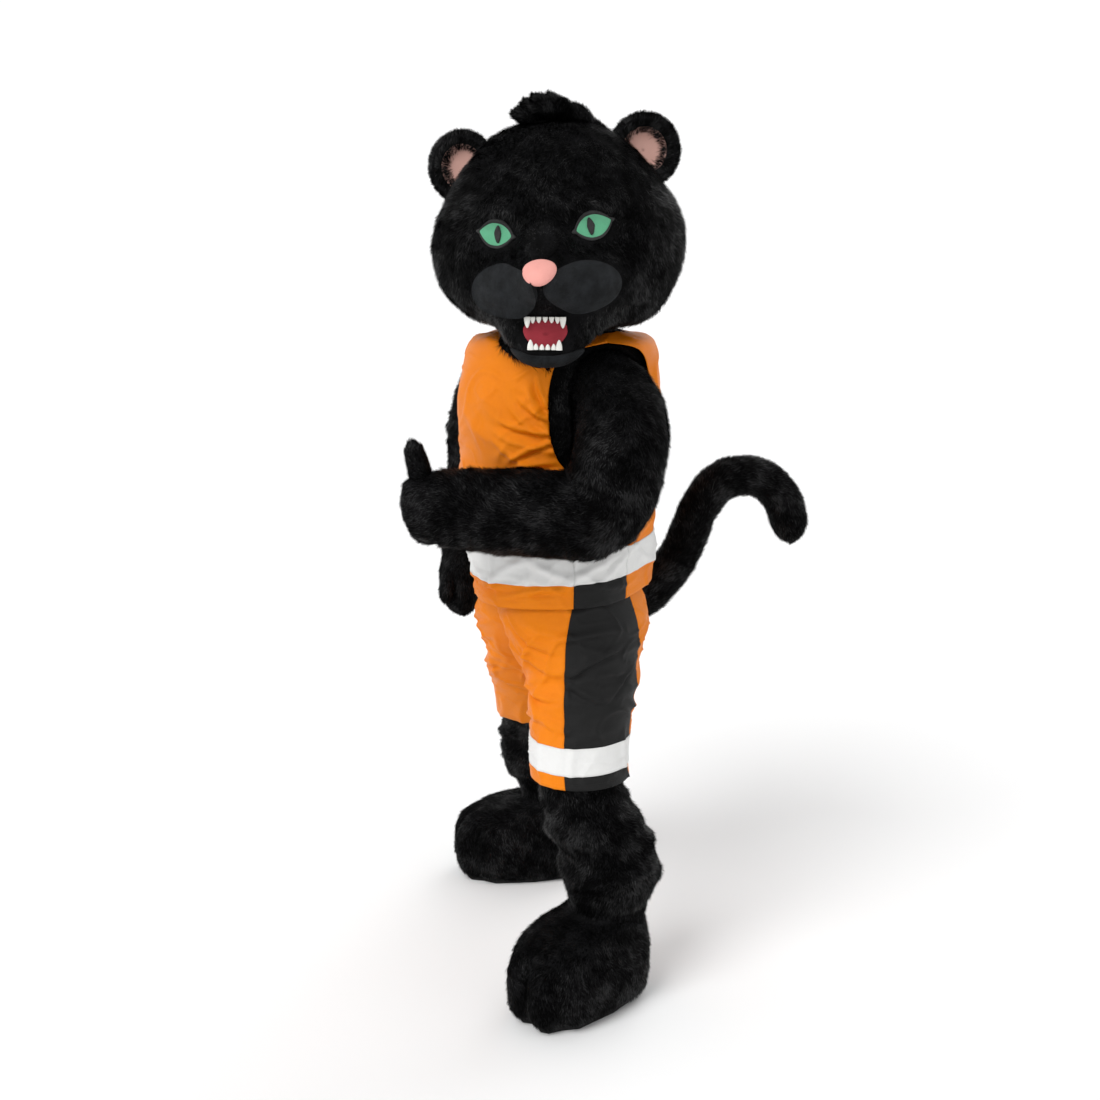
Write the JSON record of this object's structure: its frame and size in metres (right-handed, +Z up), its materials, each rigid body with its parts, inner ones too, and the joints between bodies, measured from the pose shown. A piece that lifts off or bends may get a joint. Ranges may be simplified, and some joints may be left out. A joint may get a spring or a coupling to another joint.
{
  "type": "panther mascot costume",
  "caption": "Worn black big-cat mascot costume: foam head, plush suit with tail and paw boots, and a sleeveless jersey and shorts over it.",
  "frame": {"origin": "middle of the wearer's neck, at the top of the suit's collar seam, 1.50 m above the floor", "axes": "+Z up along the wearer; -Y is the way the chest faces; +X is the wearer's left. The head faces 52 degrees round towards +X."},
  "size_m": [0.9805, 1.1422, 1.994],
  "materials": {
    "black_plush": "long black plush fur",
    "charcoal_fleece": "short bluish charcoal fleece",
    "pink_felt": "short pale pink fleece",
    "green_enamel": "green",
    "grey_mesh": "dark grey see-through mesh and felt",
    "white_teeth": "white foam plastic",
    "red_felt": "dark red felt",
    "orange_satin": "satin",
    "black_satin": "matte polyester",
    "white_satin": "satin",
    "sole_rubber": "matte foam rubber"
  },
  "bodies": {
    "suit": {"boot_left": "black_plush", "boot_right": "black_plush", "glove_left": "black_plush", "glove_right": "black_plush", "jersey_back": "orange_satin", "jersey_band_back": "white_satin", "jersey_band_front": "white_satin", "jersey_band_left": "white_satin", "jersey_band_right": "white_satin", "jersey_front": "orange_satin", "jersey_side_left": "black_satin", "jersey_side_right": "black_satin", "leg_left": "black_plush", "leg_right": "black_plush", "neck_flap": "black_plush", "shorts_band_left": "white_satin", "shorts_left_back": "orange_satin", "shorts_left_front": "orange_satin", "shorts_left_side": "black_satin", "shorts_right_back": "orange_satin", "shorts_right_front": "orange_satin", "shorts_right_side": "black_satin", "sleeve_left": "black_plush", "sleeve_right": "black_plush", "sole_left": "sole_rubber", "sole_right": "sole_rubber", "suit_back": "black_plush", "suit_front": "black_plush", "tail": "black_plush"},
    "head": {"crown_tuft": "black_plush", "ear_left": "black_plush", "ear_lining_left": "pink_felt", "ear_lining_right": "pink_felt", "ear_right": "black_plush", "eye_left": "green_enamel", "eye_right": "green_enamel", "eye_rim_left": "grey_mesh", "eye_rim_right": "grey_mesh", "head_back": "black_plush", "head_face": "black_plush", "jaw": "charcoal_fleece", "lower_teeth": "white_teeth", "neck_ring": "black_plush", "nose": "pink_felt", "nose_bridge": "black_plush", "pupil_left": "grey_mesh", "pupil_right": "grey_mesh", "tongue": "red_felt", "upper_teeth": "white_teeth", "whisker_pad_left": "charcoal_fleece", "whisker_pad_right": "charcoal_fleece"}
  },
  "joints": [
    {"name": "head_turn", "type": "hinge", "parent": "suit", "child": "head", "pos_m": [0, 0, 0], "axis": [0, 0, 1], "range_deg": [-104, 5]}
  ]
}
